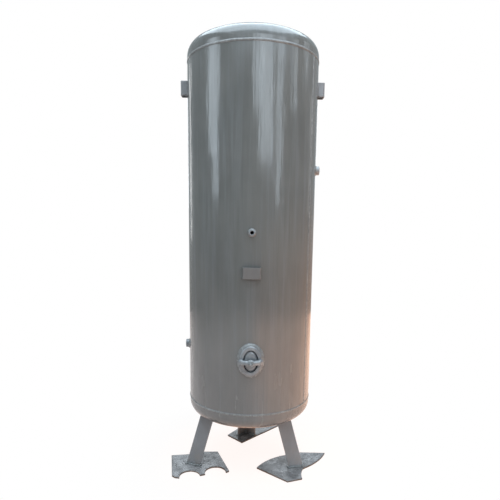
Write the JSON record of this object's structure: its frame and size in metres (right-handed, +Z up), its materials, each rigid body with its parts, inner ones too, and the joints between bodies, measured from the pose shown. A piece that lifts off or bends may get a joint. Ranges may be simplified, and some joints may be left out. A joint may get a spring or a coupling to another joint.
{
  "type": "air receiver tank",
  "caption": "Upright welded steel pressure vessel for storing compressed air, with threaded ports, a bridge-clamped handhole, lifting lugs and angle-iron legs.",
  "frame": {"origin": "on the ground under the vessel's axis", "axes": "+Z up along the vessel's axis, -Y towards the front with the gauge port and handhole, +X towards the outlet port"},
  "size_m": [0.792, 0.744, 2.0623],
  "materials": {
    "shell_paint": "gloss grey paint on rolled and pressed steel plate",
    "weld_paint": "gloss grey paint over rippled weld beads",
    "fitting_paint": "gloss grey paint on machined and forged steel",
    "bracket_paint": "semi-gloss grey paint on rolled steel section",
    "foot_plate_paint": "thin grey paint on mill-scaled plate with bare flame-cut edges",
    "fastener_paint": "grey paint over threaded steel, worn on the corners",
    "gasket_rubber": "matt black rubber"
  },
  "bodies": {
    "vessel": {"bottom_girth_weld": "weld_paint", "bottom_head": "shell_paint", "drain_coupling": "fitting_paint", "drain_coupling_weld": "weld_paint", "foot_plate_left": "foot_plate_paint", "foot_plate_rear": "foot_plate_paint", "foot_plate_right": "foot_plate_paint", "gauge_coupling": "fitting_paint", "gauge_coupling_weld": "weld_paint", "handhole_ring": "fitting_paint", "handhole_ring_weld": "weld_paint", "inlet_coupling": "fitting_paint", "inlet_coupling_weld": "weld_paint", "leg_left": "bracket_paint", "leg_left_foot_weld": "weld_paint", "leg_left_head_weld": "weld_paint", "leg_rear": "bracket_paint", "leg_rear_foot_weld": "weld_paint", "leg_rear_head_weld": "weld_paint", "leg_right": "bracket_paint", "leg_right_foot_weld": "weld_paint", "leg_right_head_weld": "weld_paint", "lifting_lug_left": "bracket_paint", "lifting_lug_left_welds": "weld_paint", "lifting_lug_right": "bracket_paint", "lifting_lug_right_welds": "weld_paint", "long_seam_weld": "weld_paint", "nameplate_bracket": "bracket_paint", "nameplate_bracket_welds": "weld_paint", "outlet_coupling": "fitting_paint", "outlet_coupling_weld": "weld_paint", "relief_coupling": "fitting_paint", "relief_coupling_weld": "weld_paint", "shell": "shell_paint", "top_girth_weld": "weld_paint", "top_head": "shell_paint"},
    "handhole_cover_assembly": {"handhole_cover": "fitting_paint", "handhole_gasket": "gasket_rubber", "handhole_stud": "fastener_paint", "handhole_stud_weld": "weld_paint"},
    "handhole_yoke_assembly": {"handhole_yoke": "fitting_paint", "handhole_washer": "fastener_paint"},
    "handhole_nut_body": {"handhole_nut": "fastener_paint"}
  },
  "joints": [
    {"name": "handhole_nut_turn", "type": "hinge", "parent": "vessel", "child": "handhole_nut_body", "pos_m": [0, -0.3569, 0.588], "axis": [0, -1, 0], "range_deg": [0, 2160]},
    {"name": "handhole_cover_slide", "type": "slide", "parent": "vessel", "child": "handhole_cover_assembly", "axis": [0, 1, 0], "range_m": [0, 0.0105]},
    {"name": "handhole_yoke_swivel", "type": "hinge", "parent": "vessel", "child": "handhole_yoke_assembly", "pos_m": [0, -0.34, 0.588], "axis": [0, -1, 0], "continuous": true}
  ],
  "couplings": [
    {"joint": "handhole_nut_turn", "follows": "handhole_cover_slide", "rad_per_m": 3590.4}
  ]
}
